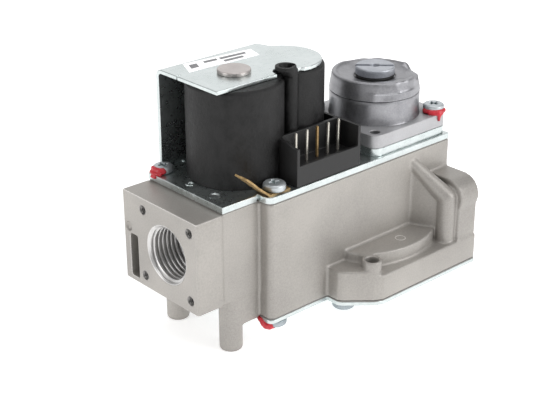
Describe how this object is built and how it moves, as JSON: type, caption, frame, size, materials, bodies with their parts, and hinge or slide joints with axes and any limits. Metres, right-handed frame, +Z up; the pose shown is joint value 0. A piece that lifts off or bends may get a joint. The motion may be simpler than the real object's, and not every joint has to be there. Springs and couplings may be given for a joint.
{
  "type": "gas control valve",
  "caption": "Boiler gas control valve: die-cast body with threaded flanged ports, twin solenoids under a zinc yoke, blade connector and a servo pressure regulator.",
  "frame": {"origin": "centre of the inlet port's mouth, on the inlet face", "axes": "+X along the body from the inlet face to the outlet face, +Y away from the side with the connector, +Z up through the solenoids"},
  "size_m": [0.1193, 0.0678, 0.0967],
  "materials": {
    "cast_aluminium": "as cast, fine satin",
    "regulator_cast": "as cast with a turned band",
    "zinc_plate": "bright zinc, satin",
    "zinc_screw": "bright zinc",
    "stud_steel": "satin",
    "steel": "plain",
    "spring_steel": "drawn wire",
    "black_moulding": "fine mottled moulding",
    "black_connector": "smooth moulding",
    "cream_plastic": "moulded",
    "copper_wire": "enamelled copper wire",
    "tinned_blade": "tinned",
    "brass": "dull, mottled",
    "rubber": "moulded",
    "gasket": "sheet",
    "red_lacquer": "brushed-on lacquer",
    "sticker": "coated label"
  },
  "bodies": {
    "valve": {"valve_body": "cast_aluminium", "top_gasket": "gasket", "base_plate": "zinc_plate", "bottom_gasket": "gasket", "bottom_cover": "zinc_plate", "inlet_strainer": "steel", "coil_housing": "black_moulding", "coil_1_bobbin": "cream_plastic", "coil_1_winding": "copper_wire", "coil_2_bobbin": "cream_plastic", "coil_2_winding": "copper_wire", "guide_tube_1": "steel", "core_1": "stud_steel", "guide_tube_2": "steel", "core_2": "stud_steel", "yoke_bracket": "zinc_plate", "sticker": "sticker", "guide_post": "black_moulding", "connector_housing": "black_connector", "connector_blades": "tinned_blade", "earth_blade": "brass", "earth_tab": "brass", "earth_screw": "zinc_screw", "base_plate_screws": "zinc_screw", "regulator_spacer": "zinc_plate", "regulator_housing": "regulator_cast", "regulator_screws": "zinc_screw", "bottom_screws": "zinc_screw", "tamper_lacquer": "red_lacquer", "main_diaphragm": "rubber", "regulator_diaphragm": "rubber", "plunger_spring_1": "spring_steel", "plunger_spring_2": "spring_steel", "main_spring": "spring_steel", "regulator_spring": "spring_steel"},
    "plunger_1_group": {"plunger_1": "steel", "safety_disc": "steel", "safety_seal": "rubber"},
    "plunger_2_group": {"plunger_2": "steel", "servo_seal": "rubber"},
    "main_valve": {"main_stem": "steel", "main_disc": "steel", "main_seal": "rubber", "upper_plate": "steel", "lower_plate": "steel"},
    "poppet": {"regulator_poppet": "steel", "regulator_plate": "steel"},
    "seat": {"spring_seat": "brass"},
    "adjuster": {"adjusting_screw": "cream_plastic"},
    "cap_ring": {"cap_seal": "rubber"},
    "cap": {"regulator_cap": "zinc_screw"}
  },
  "joints": [
    {"name": "safety_valve_lift", "type": "slide", "parent": "valve", "child": "plunger_1_group", "axis": [0, 0, 1], "range_m": [0, 0.0025], "stiffness_N_per_m": 300, "springref_m": -0.004, "deforming": ["plunger_spring_1"]},
    {"name": "servo_valve_lift", "type": "slide", "parent": "valve", "child": "plunger_2_group", "axis": [0, 0, 1], "range_m": [0, 0.0015], "stiffness_N_per_m": 200, "springref_m": -0.003, "deforming": ["plunger_spring_2"]},
    {"name": "main_valve_lift", "type": "slide", "parent": "valve", "child": "main_valve", "axis": [0, 0, 1], "range_m": [0, 0.0025], "stiffness_N_per_m": 400, "springref_m": -0.004, "deforming": ["main_spring", "main_diaphragm"]},
    {"name": "regulator_poppet_lift", "type": "slide", "parent": "valve", "child": "poppet", "axis": [0, 0, 1], "range_m": [0, 0.0004], "stiffness_N_per_m": 500, "springref_m": -0.002, "deforming": ["regulator_diaphragm"]},
    {"name": "spring_seat_travel", "type": "slide", "parent": "valve", "child": "seat", "axis": [0, 0, 1], "range_m": [-0.00301, 0], "deforming": ["regulator_spring"]},
    {"name": "adjusting_screw_turn", "type": "hinge", "parent": "seat", "child": "adjuster", "pos_m": [0.0994, -0.0013, 0.0367], "axis": [0, 0, 1], "range_deg": [-1080, 0]},
    {"name": "cap_lift", "type": "slide", "parent": "valve", "child": "cap_ring", "axis": [0, 0, 1], "range_m": [0, 0.00301]},
    {"name": "cap_turn", "type": "hinge", "parent": "cap_ring", "child": "cap", "pos_m": [0.0994, -0.0013, 0.0427], "axis": [0, 0, 1], "range_deg": [0, 1080]}
  ],
  "couplings": [
    {"joint": "spring_seat_travel", "follows": "adjusting_screw_turn", "m_per_rad": 0.00015915},
    {"joint": "cap_lift", "follows": "cap_turn", "m_per_rad": 0.00015915}
  ]
}
